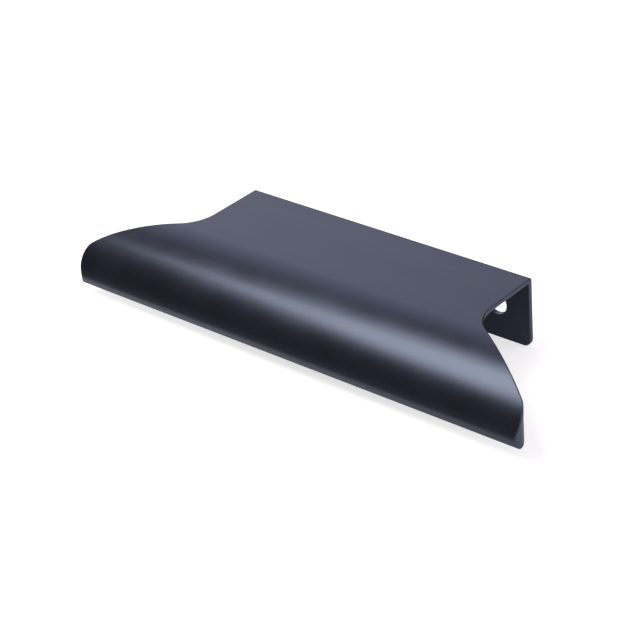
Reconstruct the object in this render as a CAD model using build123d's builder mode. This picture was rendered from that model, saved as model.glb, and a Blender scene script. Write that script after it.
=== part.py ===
"""Edge pull for a cabinet door or drawer front.

One aluminium extrusion: a thin flange that is screwed behind the door, a flat plate that lies over the
door's edge, and a rolled front that turns down into a solid nose for the fingers. Both ends are milled
along a curve, so that the flange is shorter than the nose.

Frame: +X along the door's edge, +Z up, and -Y towards the room. The origin lies on the flange's inner
face, which bears on the back of the door, midway between the two screw holes.
"""
import os
from math import asin, cos, degrees, radians, sin

from build123d import *

# Lengths along the door's edge
flange_length = 82.5
overall_length = 130.2

# Section
wall = 1.2
flange_height = 18.0
depth = 40.4
nose_thickness = 3.2

# Outer arcs of the rolled front, in order from the flat top: radius, then turn in degrees. The last arc
# turns past vertical by the undercut, and the straight chin runs on from there to the nose's base.
crown_radius = 19.1
crown_turn = 28.8
shoulder_radius = 15.4
shoulder_turn = 42.0
brow_radius = 4.1
undercut = 16.0
chin_length = 1.7

# Corners of the section
heel_radius = 0.8
seat_radius = 0.4
nose_root_radius = 1.5
nose_tip_radius = 1.2

# Curve of the milled ends, seen from above: a hollow waist, a slanted flank, and a horn that ends in a
# smaller arc, which has turned this many degrees where it meets the front
waist_radius = 9.9
flare_angle = 55.6
horn_radius = 3.85
tip_radius = 1.6
tip_turn = 57.5

# Flange: lower corners and screw holes
flange_corner_radius = 2.0
hole_diameter = 5.7
hole_spacing = 64.0
hole_drop = 9.0

# Rounding of the cut edges
edge_round = 0.25

# Heights above and reaches in front of the origin
top = hole_drop
flange_foot = top - flange_height
front = depth - wall
nose_rear = front - nose_thickness

# The rolled front: headings are angles below horizontal where one arc gives way to the next
crown_end = radians(crown_turn)
shoulder_end = radians(crown_turn + shoulder_turn)
brow_end = radians(90 + undercut)
brow_turn = 90 + undercut - crown_turn - shoulder_turn
roll_reach = (
    crown_radius * sin(crown_end)
    + shoulder_radius * (sin(shoulder_end) - sin(crown_end))
    + brow_radius * (1 - sin(shoulder_end))
)
roll_drop = (
    crown_radius * (1 - cos(crown_end))
    + shoulder_radius * (cos(crown_end) - cos(shoulder_end))
    + brow_radius * (cos(shoulder_end) - cos(brow_end))
)
flat_end = front - roll_reach
nose_foot = top - roll_drop - chin_length * sin(brow_end)

# Inside the rolled front, the wall runs on until it meets the back of the nose
under_crown_radius = crown_radius - wall
under_shoulder_radius = shoulder_radius - wall
shoulder_centre = flat_end + (crown_radius - shoulder_radius) * sin(crown_end)
nose_heading = degrees(asin((nose_rear - shoulder_centre) / under_shoulder_radius))

# The milled ends
half_flange = flange_length / 2
half_overall = overall_length / 2
flare = radians(flare_angle)
arc_widths = (waist_radius + horn_radius) * (1 - cos(flare))
flank = (half_overall - half_flange - arc_widths) / sin(flare)
widest = front - tip_radius * sin(radians(tip_turn))
side_end = widest - (waist_radius + horn_radius) * sin(flare) - flank * cos(flare)

# A face whose normal has at least this share along X was milled across the extrusion
facing = 0.01

# Sections are drawn with local x towards the room and local y up, plans with local y towards the room
section_plane = Plane(origin=(0, 0, 0), x_dir=(0, -1, 0), z_dir=(-1, 0, 0))
plan_plane = Plane(origin=(0, 0, 0), x_dir=(1, 0, 0), z_dir=(0, 0, -1))
flange_plane = Plane(origin=(0, 0, 0), x_dir=(1, 0, 0), z_dir=(0, -1, 0))

with BuildPart() as pull:
    # The extrusion
    with BuildSketch(section_plane):
        with BuildLine():
            # Outer face, from the flange's foot over the top to the nose
            flange_back = Line((-wall, flange_foot), (-wall, top))
            flat = Line(flange_back @ 1, (flat_end, top))
            crown = JernArc(flat @ 1, flat % 1, crown_radius, -crown_turn)
            shoulder = JernArc(crown @ 1, crown % 1, shoulder_radius, -shoulder_turn)
            brow = JernArc(shoulder @ 1, shoulder % 1, brow_radius, -brow_turn)
            chin = Line(brow @ 1, brow @ 1 + (brow % 1) * chin_length)
            nose_base = Line(chin @ 1, (nose_rear, nose_foot))
            # Inner face, from the flange under the top to the back of the nose
            flange_face = Line((0, flange_foot), (0, top - wall))
            under_flat = Line(flange_face @ 1, (flat_end, top - wall))
            under_crown = JernArc(under_flat @ 1, under_flat % 1, under_crown_radius, -crown_turn)
            under_shoulder = JernArc(
                under_crown @ 1, under_crown % 1, under_shoulder_radius, crown_turn - nose_heading
            )
            nose_back = Line(under_shoulder @ 1, nose_base @ 1)
            Line(flange_back @ 0, flange_face @ 0)
        make_face()
        for corner, radius in (
            (flange_back @ 1, heel_radius),
            (flange_face @ 1, seat_radius),
            (nose_back @ 0, nose_root_radius),
            (nose_base @ 0, nose_tip_radius),
            (nose_base @ 1, nose_tip_radius),
        ):
            fillet(vertices().sort_by_distance(corner)[0], radius)
    extrude(amount=half_overall, both=True)

    # The ends, milled through the extrusion from above
    with BuildSketch(plan_plane):
        with BuildLine():
            side = Line((half_flange, -depth), (half_flange, side_end))
            waist = JernArc(side @ 1, side % 1, waist_radius, -flare_angle)
            slant = Line(waist @ 1, waist @ 1 + (waist % 1) * flank)
            horn = JernArc(slant @ 1, slant % 1, horn_radius, flare_angle)
            tip = JernArc(horn @ 1, horn % 1, tip_radius, 90)
            Line(tip @ 1, (0, (tip @ 1).Y))
            Line(side @ 0, (0, -depth))
            mirror(about=Plane.YZ)
        make_face()
    extrude(amount=depth, both=True, mode=Mode.INTERSECT)

    # The flange's lower corners
    foot = faces().sort_by(Axis.Z)[0]
    fillet(foot.edges().filter_by(Axis.Y), flange_corner_radius)

    # A slight rounding around everything that was cut: the ends, which alone face along X, and the foot
    foot = faces().sort_by(Axis.Z)[0]
    cut_faces = faces().filter_by(lambda face: abs(face.normal_at().X) > facing) + [foot]
    rim = cut_faces.edges().filter_by(lambda edge: sum(edge in face.edges() for face in cut_faces) == 1)
    fillet(rim, edge_round)

    # The screw holes
    with Locations(flange_plane):
        with GridLocations(hole_spacing, 0, 2, 1):
            Hole(hole_diameter / 2, depth=wall)

pull.part.label = "pull"

os.makedirs("parts", exist_ok=True)
export_step(pull.part, "parts/pull.step")
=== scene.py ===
"""Satin black finish, stage and camera for a one-piece edge pull.

The pull is an aluminium extrusion, anodised black: a dark bluish metal with a soft sheen, fine lines left
along it by the die and the even grain of the satin bath; its milled ends are painted paler, a painted
reflection.
Its shape is the frame's own, so this file adds only the finish and what stands around it.
"""

import math

import bpy
from bpy.props import FloatProperty, FloatVectorProperty, PointerProperty
from mathutils import Matrix, Vector


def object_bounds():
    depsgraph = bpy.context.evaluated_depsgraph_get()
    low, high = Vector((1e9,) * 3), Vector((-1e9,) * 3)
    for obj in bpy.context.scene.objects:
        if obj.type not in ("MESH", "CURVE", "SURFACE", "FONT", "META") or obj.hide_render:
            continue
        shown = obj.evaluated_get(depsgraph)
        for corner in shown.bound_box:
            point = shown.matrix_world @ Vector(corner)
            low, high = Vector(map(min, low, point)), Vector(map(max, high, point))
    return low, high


bl_info = {
    "name": "Edge Pull",
    "version": (1, 0, 0),
    "blender": (4, 5, 0),
    "location": "3D View > Sidebar > Edge Pull",
    "description": "Gives an anodised edge pull its finish and sets it in a plain studio",
    "category": "Object",
}

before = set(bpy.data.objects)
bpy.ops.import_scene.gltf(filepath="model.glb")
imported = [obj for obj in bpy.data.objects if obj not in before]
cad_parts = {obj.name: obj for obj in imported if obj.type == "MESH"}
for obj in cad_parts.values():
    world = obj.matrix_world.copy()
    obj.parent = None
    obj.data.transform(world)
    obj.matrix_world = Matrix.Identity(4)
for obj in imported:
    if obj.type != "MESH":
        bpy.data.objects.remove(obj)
CAD_BOX = [list(corner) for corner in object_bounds()]
LOWEST = CAD_BOX[0][2]
LENGTH = CAD_BOX[1][0] - CAD_BOX[0][0]
WHITE = (1.0, 1.0, 1.0, 1.0)

# The solid's rolled front: radius and turn in degrees of each outer arc, from the flat top down to the chin,
# and the heading at which the wall's inner face meets the back of the nose
ROLL_ARCS = ((0.0191, 28.8), (0.0154, 42.0), (0.0041, 35.2))
NOSE_HEADING = 54.6

# Angles in degrees between a mesh normal and the true curve's: the curve takes over between the two
CURVE_UNLIKE = 10
CURVE_ALIKE = 7

# A die line is this many times longer than it is wide, and streaks are this share as fine as lines
LINE_STRETCH = 400
STREAK_FINENESS = 0.12

# The dye's clouds are this many grains wide, and change the tone by this share and the roughness by this much
CLOUD_GRAINS = 90.0
CLOUD_TONE = 0.10
CLOUD_ROUGHNESS = 0.02
STREAK_ROUGHNESS = 0.02

# Noise seldom leaves this range
NOISE_LOW = 0.3
NOISE_HIGH = 0.7

# Share of the normal along X at which a face begins to look cut, and from which it fully does
CUT_STARTS = 0.05
CUT_FULL = 0.25

# Half-width, as a change of the sine, over which the painted shadow in the floor under the pull fades in
UNDER_SOFTNESS = 0.06

# The floor reaches this many lengths of the pull each way
FLOOR_LENGTHS = 20


def angle(name, description, degrees):
    """An angle setting."""
    return FloatProperty(
        name=name, description=description, subtype="ANGLE", unit="ROTATION", default=math.radians(degrees)
    )


def length(name, description, metres, least=0.0, precision=4):
    """A length setting."""
    return FloatProperty(
        name=name, description=description, subtype="DISTANCE", unit="LENGTH",
        min=least, precision=precision, default=metres,
    )


def colour(name, description, tone):
    """A colour setting."""
    return FloatVectorProperty(
        name=name, description=description, subtype="COLOR", size=3, min=0.0, max=1.0, default=tone
    )


def amount(name, description, value):
    """A setting that is a plain number, such as a brightness."""
    return FloatProperty(name=name, description=description, min=0.0, default=value)


def share(name, description, value, least=0.0):
    """A setting between 0 and 1."""
    return FloatProperty(
        name=name, description=description, subtype="FACTOR", min=least, max=1.0, default=value
    )


class FinishSettings(bpy.types.PropertyGroup):
    """Colours and sizes of the anodised finish."""

    tone: colour("Tone", "Colour of the dyed oxide over the metal", (0.072, 0.081, 0.116))
    # Cut Tone is a painted reflection: the milled ends and holes are painted paler to stand in for the light
    # they catch
    painted_cut_reflection: colour(
        "Cut Tone", "Colour of the milled ends, which are smoother under the oxide", (0.115, 0.132, 0.182)
    )
    sheen: share("Roughness", "Roughness of the satin surface before its variation", 0.33, least=0.05)
    line_spacing: length(
        "Line Spacing", "Distance between the fine lines that the die leaves along the pull",
        0.0003, least=0.00005,
    )
    line_depth: length("Line Depth", "Height of the die lines", 0.0000012, precision=6)
    grain_size: length(
        "Grain Size", "Width of one grain of the etched surface", 0.00012, least=0.00002, precision=6
    )
    grain_depth: length("Grain Depth", "Height of the etched grain", 0.0000015, precision=6)


class StageSettings(bpy.types.PropertyGroup):
    """The studio around the pull, and where it is seen from."""

    floor_tone: colour("Floor", "Colour of the floor", (0.72, 0.72, 0.72))
    floor_glow: amount(
        "Floor Glow", "Light added to the floor that is seen, to whiten it around the shadow", 0.68
    )
    lit_reach: length(
        "Lit Reach", "Distance from the pull at which the floor is no longer lit by the softbox",
        0.7, least=0.1,
    )
    floor_gleam: amount("Floor Gleam", "Light added to the floor that the metal shows, near the pull", 0.26)
    floor_fades: angle("Floor Fades", "Angle below the horizon at which the metal shows the far floor", 17)
    floor_full: angle("Floor Full", "Angle below the horizon from which the metal shows the near floor", 38)
    # The dark floor under the pull is a painted shadow in the light that the floor adds for the metal
    painted_shadow_angle: angle("Floor Under", "Angle below the horizon of the dark floor right under the pull", 56)
    # The floor darkening in front of the pull is painted shade in the metal's view of it
    painted_front_shade: share("Floor Front", "How much sooner the floor darkens in front of the pull", 0.3)
    # The far floor's darker tone is painted shade, seen in the metal and in the light the floor sends back
    floor_far: share("Far Floor", "Share of the floor's colour that the metal shows of the far floor", 0.35)

    box_turn: angle("Softbox Turn", "Direction of the softbox, turned left from straight behind", 131)
    box_height: angle("Softbox Height", "Elevation of the softbox", 58)
    box_distance: length(
        "Softbox Distance", "Distance from the pull's right half to the softbox", 0.34, least=0.1
    )
    box_size: length("Softbox Size", "Side of the square softbox", 0.21, least=0.01)
    box_power: FloatProperty(
        name="Softbox Power", description="Power of the softbox", subtype="POWER", unit="POWER",
        min=0.0, default=0.71,
    )
    box_tint: colour("Softbox Tint", "Colour of the softbox", (1.0, 1.0, 0.91))

    wall_turn: angle("Wall Turn", "Direction of the lit wall's middle, turned left from straight behind", 52)
    wall_height: angle("Wall Height", "Elevation of the lit wall's middle", 23)
    wall_core: angle("Wall Core", "Angle from the wall's middle within which it is fully lit", 8)
    wall_spread: angle("Wall Spread", "Angle from the wall's middle at which its light has faded", 35)
    wall_light: amount("Wall Light", "Brightness of the lit wall", 1.25)
    wall_tint: colour("Wall Tint", "Colour of the light from the wall", (0.91, 0.92, 1.0))

    side_turn: angle(
        "Side Turn", "Direction of the side wall's middle, turned left from straight behind", -90
    )
    side_height: angle("Side Height", "Elevation of the side wall's middle", 30)
    side_core: angle("Side Core", "Angle from the side wall's middle within which it is fully lit", 25)
    side_spread: angle("Side Spread", "Angle from the side wall's middle at which its light has faded", 88)
    side_light: amount("Side Light", "Brightness of the side wall", 0.7)

    room_light: amount("Room Light", "Brightness of the rest of the room", 0.12)
    room_tint: colour("Room Tint", "Colour of the light from the room and the side wall", (0.98, 0.90, 1.0))

    camera_turn: angle(
        "Camera Turn", "Camera's place round the pull, turned right from straight in front", 42.5
    )
    camera_height: angle("Camera Height", "Camera's elevation above the pull", 30.69)
    camera_roll: angle("Camera Roll", "Turn of the camera about its own line of sight", 5.08)
    camera_distance: length(
        "Camera Distance", "Distance from the camera to the point that it is aimed at", 0.4517, least=0.05
    )
    camera_aim: FloatVectorProperty(
        name="Camera Aim", description="The point that the camera is aimed at", subtype="XYZ", unit="LENGTH",
        size=3, precision=5, default=(-0.00165, -0.02302, -0.00382),
    )
    camera_lens: FloatProperty(
        name="Focal Length", description="Focal length on a sensor 36 mm wide", subtype="DISTANCE_CAMERA",
        unit="CAMERA", min=10.0, default=109.74,
    )


def direction(turn, height, forward=1.0):
    """Unit vector at an angle left of +Y, or right of -Y with forward -1, and at a height above level."""
    level = math.cos(height)
    return Vector((-forward * math.sin(turn) * level, forward * math.cos(turn) * level, math.sin(height)))


def feed(tree, socket, value):
    """Gives an input its value, which is a socket to link or a plain one."""
    if isinstance(value, bpy.types.NodeSocket):
        tree.links.new(value, socket)
    else:
        socket.default_value = value


def math_node(tree, operation, first, second=None, clamp=False):
    """Result of a Math node."""
    node = tree.nodes.new("ShaderNodeMath")
    node.operation = operation
    node.use_clamp = clamp
    feed(tree, node.inputs[0], first)
    if second is not None:
        feed(tree, node.inputs[1], second)
    return node.outputs["Value"]


def vector_node(tree, operation, first, second=None):
    """Result of a Vector Math node, a number or a vector as the operation gives."""
    node = tree.nodes.new("ShaderNodeVectorMath")
    node.operation = operation
    feed(tree, node.inputs[0], first)
    if second is not None:
        feed(tree, node.inputs[1], second)
    return node.outputs["Value" if operation in {"DOT_PRODUCT", "LENGTH"} else "Vector"]


def parts_of(tree, vector):
    """X, Y and Z outputs of a vector."""
    node = tree.nodes.new("ShaderNodeSeparateXYZ")
    tree.links.new(vector, node.inputs["Vector"])
    return node.outputs


def mix_node(tree, kind, factor, first, second):
    """Mix of two colours or vectors."""
    node = tree.nodes.new("ShaderNodeMix")
    node.data_type = kind
    tree.links.new(factor, node.inputs["Factor"])
    feed(tree, node.inputs["A"], first)
    feed(tree, node.inputs["B"], second)
    return node.outputs["Result"]


def map_range(tree, value, low, high, to_low=0.0, to_high=1.0, smooth=False):
    """Result of a Map Range node from low..high to to_low..to_high."""
    node = tree.nodes.new("ShaderNodeMapRange")
    node.interpolation_type = "SMOOTHSTEP" if smooth else "LINEAR"
    tree.links.new(value, node.inputs["Value"])
    for name, number in (("From Min", low), ("From Max", high), ("To Min", to_low), ("To Max", to_high)):
        node.inputs[name].default_value = number
    return node.outputs["Result"]


def noise_node(tree, position, scale, detail):
    """Noise of a scale given by a socket."""
    node = tree.nodes.new("ShaderNodeTexNoise")
    node.inputs["Detail"].default_value = detail
    tree.links.new(position, node.inputs["Vector"])
    tree.links.new(scale, node.inputs["Scale"])
    return node.outputs["Fac"]


def seen_rays(tree, ray):
    """1 for a ray that the camera sends, straight or through glass."""
    return math_node(tree, "MAXIMUM", ray.outputs["Is Camera Ray"], ray.outputs["Is Transmission Ray"])


def new_group(name, inputs, outputs):
    """An empty shader node group, with its input and output nodes. Inputs have a default or None."""
    tree = bpy.data.node_groups.new(name, "ShaderNodeTree")
    for socket_name, kind, value in inputs:
        socket = tree.interface.new_socket(socket_name, in_out="INPUT", socket_type=kind)
        if value is not None:
            socket.default_value = value
    for socket_name, kind in outputs:
        tree.interface.new_socket(socket_name, in_out="OUTPUT", socket_type=kind)
    return tree, tree.nodes.new("NodeGroupInput"), tree.nodes.new("NodeGroupOutput")


def die_lines_group():
    """Fine lines along X: noise that changes within one spacing across the section and hardly along it."""
    tree, given, result = new_group(
        "die_lines",
        (("Position", "NodeSocketVector", None), ("Spacing", "NodeSocketFloat", 0.0003)),
        (("Line", "NodeSocketFloat"), ("Streak", "NodeSocketFloat")),
    )
    across = vector_node(tree, "MULTIPLY", given.outputs["Position"], (1 / LINE_STRETCH, 1.0, 1.0))
    pitch = math_node(tree, "DIVIDE", 1.0, given.outputs["Spacing"])
    for name, fineness, detail in (("Line", 1.0, 2.0), ("Streak", STREAK_FINENESS, 3.0)):
        scale = math_node(tree, "MULTIPLY", pitch, fineness)
        tree.links.new(noise_node(tree, across, scale, detail), result.inputs[name])
    return tree


def etched_grain_group():
    """Even grain of an etched surface, with a slow cloudiness of the dye over several millimetres."""
    tree, given, result = new_group(
        "etched_grain",
        (("Position", "NodeSocketVector", None), ("Size", "NodeSocketFloat", 0.00012)),
        (("Grain", "NodeSocketFloat"), ("Cloud", "NodeSocketFloat")),
    )
    for name, grains, detail in (("Grain", 1.0, 1.0), ("Cloud", CLOUD_GRAINS, 3.0)):
        width = math_node(tree, "MULTIPLY", given.outputs["Size"], grains)
        scale = math_node(tree, "DIVIDE", 1.0, width)
        tree.links.new(noise_node(tree, given.outputs["Position"], scale, detail), result.inputs[name])
    return tree


def roll_centres():
    """Centres of the rolled front's arcs in the section, each as its reach towards the room and its height,
    and the heading in which the last arc ends. A heading is an angle below horizontal."""
    headings = [0.0]
    for _, turn in ROLL_ARCS:
        headings.append(headings[-1] + math.radians(turn))
    # The front is where the heading is straight down, within the last arc
    reach = 0.0
    for (radius, _), start, end in zip(ROLL_ARCS, headings, headings[1:]):
        reach += radius * (math.sin(min(end, math.pi / 2)) - math.sin(start))
    radii = [radius for radius, _ in ROLL_ARCS]
    centre = Vector((-CAD_BOX[0][1] - reach, CAD_BOX[1][2] - radii[0]))
    centres = [centre]
    for radius, smaller, heading in zip(radii, radii[1:], headings[1:]):
        centre = centre + (radius - smaller) * Vector((math.sin(heading), math.cos(heading)))
        centres.append(centre)
    return centres, headings[-1]


def true_curve_group():
    """Normal of the true arcs in place of the facets' own, on both faces of the rolled wall only."""
    tree, given, result = new_group(
        "true_curve", (("Position", "NodeSocketVector", None),), (("Normal", "NodeSocketVector"),)
    )
    place = parts_of(tree, given.outputs["Position"])
    forward = math_node(tree, "MULTIPLY", place["Y"], -1.0)
    centres, chin_heading = roll_centres()
    # Each arc starts where the line through its centre and the one before ends that one, so the largest
    # angle about any of the centres is the heading of the surface
    headings = [0.0]
    for reach, height in centres:
        ahead = math_node(tree, "SUBTRACT", forward, reach)
        above = math_node(tree, "SUBTRACT", place["Z"], height)
        around = math_node(tree, "ARCTAN2", ahead, above)
        headings.append(math_node(tree, "MAXIMUM", around, headings[-1]))
    normal = tree.nodes.new("ShaderNodeNewGeometry").outputs["Normal"]
    unlike, alike = math.cos(math.radians(CURVE_UNLIKE)), math.cos(math.radians(CURVE_ALIKE))
    # The outer face turns through all the arcs, and the inner face through all but the last
    outer = (1.0, headings[-1], chin_heading)
    inner = (-1.0, headings[-2], math.radians(NOSE_HEADING))
    for side, heading, last in (outer, inner):
        heading = math_node(tree, "MINIMUM", heading, last)
        true = tree.nodes.new("ShaderNodeCombineXYZ")
        towards_room = math_node(tree, "MULTIPLY", math_node(tree, "SINE", heading), -side)
        up = math_node(tree, "MULTIPLY", math_node(tree, "COSINE", heading), side)
        tree.links.new(towards_room, true.inputs["Y"])
        tree.links.new(up, true.inputs["Z"])
        likeness = vector_node(tree, "DOT_PRODUCT", true.outputs["Vector"], normal)
        likely = map_range(tree, likeness, unlike, alike)
        normal = mix_node(tree, "VECTOR", likely, normal, true.outputs["Vector"])
    tree.links.new(vector_node(tree, "NORMALIZE", normal), result.inputs["Normal"])
    return tree


def cut_faces_group():
    """Mask of everything that was cut across the extrusion: the milled ends, their rims and the holes. Only
    there does the surface face along X."""
    tree, _, result = new_group("cut_faces", (), (("Cut", "NodeSocketFloat"),))
    facing = parts_of(tree, tree.nodes.new("ShaderNodeTexCoord").outputs["Normal"])
    along = math_node(tree, "ABSOLUTE", facing["X"])
    tree.links.new(map_range(tree, along, CUT_STARTS, CUT_FULL, smooth=True), result.inputs["Cut"])
    return tree


def place_group(tree, group, **values):
    """A node of a group in a material, with its inputs linked or set."""
    node = tree.nodes.new("ShaderNodeGroup")
    node.node_tree = group
    for name, value in values.items():
        feed(tree, node.inputs[name], value)
    return node


def anodised_material(look):
    """Dyed metal: painted paler where it was cut (a painted reflection), roughness varied by streaks and
    clouds, and a slight relief.
    """
    material = bpy.data.materials.new("satin_black_anodised")
    material.use_nodes = True
    tree = material.node_tree
    shader = tree.nodes["Principled BSDF"]
    shader.inputs["Metallic"].default_value = 1.0
    position = tree.nodes.new("ShaderNodeTexCoord").outputs["Object"]
    lines = place_group(tree, die_lines_group(), Position=position, Spacing=look.line_spacing)
    grain = place_group(tree, etched_grain_group(), Position=position, Size=look.grain_size)
    curve = place_group(tree, true_curve_group(), Position=position)
    ends = place_group(tree, cut_faces_group())

    # Tone: the dye's clouds change it a little, and the milled ends get a paler tone, a painted reflection of
    # the light they catch
    darker = (*((1.0 - CLOUD_TONE) * part for part in look.tone), 1.0)
    lighter = (*((1.0 + CLOUD_TONE) * part for part in look.tone), 1.0)
    clouds = mix_node(tree, "RGBA", grain.outputs["Cloud"], darker, lighter)
    # Painted reflection: faces along X take the paler cut tone
    dye_and_cut_reflection = mix_node(tree, "RGBA", ends.outputs["Cut"], clouds, (*look.painted_cut_reflection, 1.0))
    tree.links.new(dye_and_cut_reflection, shader.inputs["Base Color"])

    # Roughness: streaks along the pull and clouds across it, each a small share either way
    smoother, rougher = look.sheen - STREAK_ROUGHNESS, look.sheen + STREAK_ROUGHNESS
    streaks = map_range(tree, lines.outputs["Streak"], NOISE_LOW, NOISE_HIGH, smoother, rougher)
    drift = map_range(tree, grain.outputs["Cloud"], NOISE_LOW, NOISE_HIGH, -CLOUD_ROUGHNESS, CLOUD_ROUGHNESS)
    tree.links.new(math_node(tree, "ADD", streaks, drift, clamp=True), shader.inputs["Roughness"])

    # Relief in metres: grain everywhere, and lines where the die has left them
    drawn = math_node(tree, "SUBTRACT", 1.0, ends.outputs["Cut"])
    line_relief = math_node(tree, "MULTIPLY", lines.outputs["Line"], look.line_depth)
    line_relief = math_node(tree, "MULTIPLY", line_relief, drawn)
    grain_relief = math_node(tree, "MULTIPLY", grain.outputs["Grain"], look.grain_depth)
    relief = tree.nodes.new("ShaderNodeBump")
    relief.inputs["Distance"].default_value = 1.0
    tree.links.new(math_node(tree, "ADD", line_relief, grain_relief), relief.inputs["Height"])
    tree.links.new(curve.outputs["Normal"], relief.inputs["Normal"])
    tree.links.new(relief.outputs["Normal"], shader.inputs["Normal"])
    return material


def floor_material(stage):
    """Matt floor, white around the shadow where the camera sees it, and clear from below. The metal shows it
    pale near the pull, where light is added, and dark towards the horizon and right under the pull: painted
    shade."""
    material = bpy.data.materials.new("studio_floor")
    material.use_nodes = True
    tree = material.node_tree
    shader = tree.nodes["Principled BSDF"]
    shader.inputs["Roughness"].default_value = 1.0
    shader.inputs["Specular IOR Level"].default_value = 0.0
    shader.inputs["Emission Color"].default_value = WHITE
    ray = tree.nodes.new("ShaderNodeLightPath")
    seen = seen_rays(tree, ray)
    surface = tree.nodes.new("ShaderNodeNewGeometry")
    position = tree.nodes.new("ShaderNodeTexCoord").outputs["Object"]

    # A steep ray comes from close by. In front of the nose a ray counts as less steep, so that the floor
    # darkens sooner there, a painted shade in front of the nose
    back = parts_of(tree, surface.outputs["Incoming"])
    in_front = math_node(tree, "LESS_THAN", parts_of(tree, position)["Y"], CAD_BOX[0][1])
    from_nose = math_node(tree, "MULTIPLY", math_node(tree, "MAXIMUM", back["Y"], 0.0), in_front)
    shade = math_node(tree, "MULTIPLY", from_nose, stage.painted_front_shade)
    steepness = math_node(tree, "SUBTRACT", back["Z"], shade)
    shallow, steep = math.sin(stage.floor_fades), math.sin(stage.floor_full)
    near = map_range(tree, steepness, shallow, steep, smooth=True)
    # Painted shade: away from the pull the metal sees the floor at a darker tone
    far_painted_shade = (*(stage.floor_far * part for part in stage.floor_tone), 1.0)
    near_or_seen = math_node(tree, "MAXIMUM", near, seen)
    tone = mix_node(tree, "RGBA", near_or_seen, far_painted_shade, (*stage.floor_tone, 1.0))
    tree.links.new(tone, shader.inputs["Base Color"])

    # Where the floor is seen, the glow rises to white as the softbox's light falls off
    away = vector_node(tree, "LENGTH", position)
    glow = map_range(tree, away, LENGTH, stage.lit_reach, stage.floor_glow, 1.0, smooth=True)
    glow = math_node(tree, "MULTIPLY", glow, seen)
    gleam = math_node(tree, "MULTIPLY", ray.outputs["Is Glossy Ray"], stage.floor_gleam)
    gleam = math_node(tree, "MULTIPLY", gleam, near)
    # Painted shadow: the added light fades out where the metal looks right under the pull
    under = math.sin(stage.painted_shadow_angle)
    starts, full = under - UNDER_SOFTNESS, under + UNDER_SOFTNESS
    outside_painted_shadow = map_range(tree, back["Z"], starts, full, 1.0, 0.0, smooth=True)
    gleam = math_node(tree, "MULTIPLY", gleam, outside_painted_shadow)
    tree.links.new(math_node(tree, "ADD", glow, gleam), shader.inputs["Emission Strength"])

    clear = tree.nodes.new("ShaderNodeBsdfTransparent")
    either = tree.nodes.new("ShaderNodeMixShader")
    tree.links.new(surface.outputs["Backfacing"], either.inputs["Fac"])
    tree.links.new(shader.outputs["BSDF"], either.inputs[1])
    tree.links.new(clear.outputs["BSDF"], either.inputs[2])
    tree.links.new(either.outputs["Shader"], tree.nodes["Material Output"].inputs["Surface"])
    return material


def studio_world(stage):
    """White backdrop all round where it is seen. For the light it gives, and in the metal, the backdrop is
    white where it stands behind the pull and pale at the right, and it fades into a dimmer room."""
    world = bpy.data.worlds.new("studio")
    world.use_nodes = True
    tree = world.node_tree
    lit = tree.nodes["Background"]
    looking = tree.nodes.new("ShaderNodeTexCoord").outputs["Generated"]
    walls = []
    for turn, height, core, spread in (
        (stage.wall_turn, stage.wall_height, stage.wall_core, stage.wall_spread),
        (stage.side_turn, stage.side_height, stage.side_core, stage.side_spread),
    ):
        towards = vector_node(tree, "DOT_PRODUCT", looking, direction(turn, height))
        walls.append(map_range(tree, towards, math.cos(spread), math.cos(core), smooth=True))
    wall, side = walls
    behind = map_range(tree, wall, 0.0, 1.0, stage.room_light, stage.wall_light)
    beside = map_range(tree, side, 0.0, 1.0, stage.room_light, stage.side_light)
    tree.links.new(math_node(tree, "MAXIMUM", behind, beside), lit.inputs["Strength"])
    tint = mix_node(tree, "RGBA", wall, (*stage.room_tint, 1.0), (*stage.wall_tint, 1.0))
    tree.links.new(tint, lit.inputs["Color"])

    shown = tree.nodes.new("ShaderNodeBackground")
    shown.inputs["Color"].default_value = WHITE
    either = tree.nodes.new("ShaderNodeMixShader")
    tree.links.new(seen_rays(tree, tree.nodes.new("ShaderNodeLightPath")), either.inputs["Fac"])
    tree.links.new(lit.outputs["Background"], either.inputs[1])
    tree.links.new(shown.outputs["Background"], either.inputs[2])
    tree.links.new(either.outputs["Shader"], tree.nodes["World Output"].inputs["Surface"])
    return world


def add_floor(scene, stage):
    """A square floor under the pull."""
    reach = FLOOR_LENGTHS * LENGTH
    mesh = bpy.data.meshes.new("floor")
    corners = [(x * reach, y * reach, LOWEST) for x, y in ((-1, -1), (1, -1), (1, 1), (-1, 1))]
    mesh.from_pydata(corners, [], [(0, 1, 2, 3)])
    mesh.materials.append(floor_material(stage))
    floor = bpy.data.objects.new("floor", mesh)
    scene.collection.objects.link(floor)


def add_softbox(scene, stage):
    """A square lamp, aimed at the middle of the pull's right half."""
    aim = Vector((LENGTH / 4, (CAD_BOX[0][1] + CAD_BOX[1][1]) / 2, 0.0))
    towards = direction(stage.box_turn, stage.box_height)
    softbox = bpy.data.lights.new("softbox", "AREA")
    softbox.shape = "SQUARE"
    softbox.size = stage.box_size
    softbox.energy = stage.box_power
    softbox.color = stage.box_tint
    lamp = bpy.data.objects.new("softbox", softbox)
    lamp.location = aim + towards * stage.box_distance
    lamp.rotation_euler = towards.to_track_quat("Z", "Y").to_euler()
    lamp.visible_camera = False
    scene.collection.objects.link(lamp)


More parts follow.
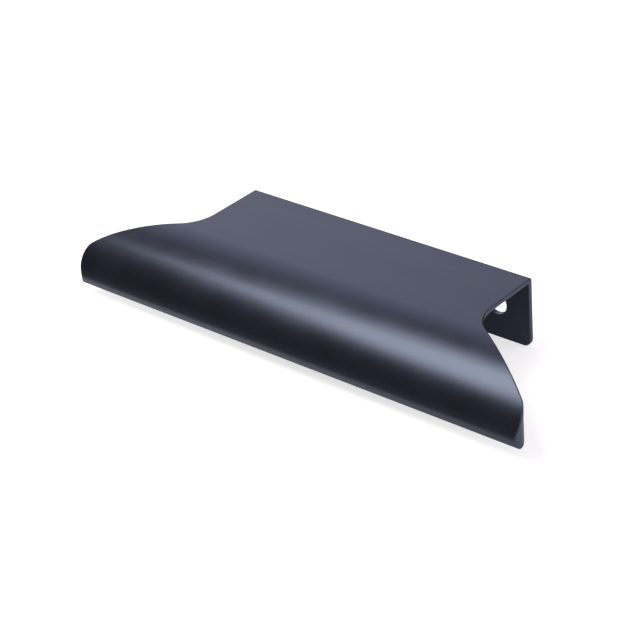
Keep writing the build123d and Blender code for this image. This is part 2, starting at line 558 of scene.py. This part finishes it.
def add_camera(scene, stage):
    """The camera, at the photograph's viewing angle."""
    camera = bpy.data.cameras.new("camera")
    camera.lens = stage.camera_lens
    viewer = bpy.data.objects.new("camera", camera)
    from_aim = direction(stage.camera_turn, stage.camera_height, forward=-1.0)
    viewer.location = Vector(stage.camera_aim) + from_aim * stage.camera_distance
    turned = Matrix.Rotation(stage.camera_turn, 3, "Z")
    tilted = turned @ Matrix.Rotation(math.pi / 2 - stage.camera_height, 3, "X")
    viewer.rotation_euler = (tilted @ Matrix.Rotation(-stage.camera_roll, 3, "Z")).to_euler()
    scene.collection.objects.link(viewer)
    scene.camera = viewer


class EDGEPULL_OT_finish(bpy.types.Operator):
    """Give the pull its satin black anodised finish"""

    bl_idname = "edgepull.finish"
    bl_label = "Anodised Finish"

    def execute(self, context):
        material = anodised_material(context.scene.edgepull_finish)
        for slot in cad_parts["pull"].material_slots:
            slot.material = material
        return {"FINISHED"}


class EDGEPULL_OT_stage(bpy.types.Operator):
    """Set the pull on a pale floor in a white studio, with a softbox and a camera"""

    bl_idname = "edgepull.stage"
    bl_label = "Studio"

    def execute(self, context):
        scene = context.scene
        stage = scene.edgepull_stage
        scene.view_settings.view_transform = "Standard"
        scene.world = studio_world(stage)
        add_floor(scene, stage)
        add_softbox(scene, stage)
        add_camera(scene, stage)
        return {"FINISHED"}


class EDGEPULL_PT_panel(bpy.types.Panel):
    """Lists the settings and the steps"""

    bl_idname = "EDGEPULL_PT_panel"
    bl_label = "Edge Pull"
    bl_space_type = "VIEW_3D"
    bl_region_type = "UI"
    bl_category = "Edge Pull"

    def draw(self, context):
        for settings, operator in (
            (context.scene.edgepull_finish, EDGEPULL_OT_finish),
            (context.scene.edgepull_stage, EDGEPULL_OT_stage),
        ):
            box = self.layout.box()
            for name in settings.__annotations__:
                box.prop(settings, name)
            box.operator(operator.bl_idname)


CLASSES = (FinishSettings, StageSettings, EDGEPULL_OT_finish, EDGEPULL_OT_stage, EDGEPULL_PT_panel)


def register():
    """Adds the classes and the scene's settings."""
    for cls in CLASSES:
        bpy.utils.register_class(cls)
    bpy.types.Scene.edgepull_finish = PointerProperty(type=FinishSettings)
    bpy.types.Scene.edgepull_stage = PointerProperty(type=StageSettings)


def unregister():
    """Takes them away again."""
    del bpy.types.Scene.edgepull_stage
    del bpy.types.Scene.edgepull_finish
    for cls in reversed(CLASSES):
        bpy.utils.unregister_class(cls)


def main():
    """Runs each step in order."""
    register()
    bpy.ops.edgepull.finish()
    bpy.ops.edgepull.stage()


if __name__ == "__main__":
    main()
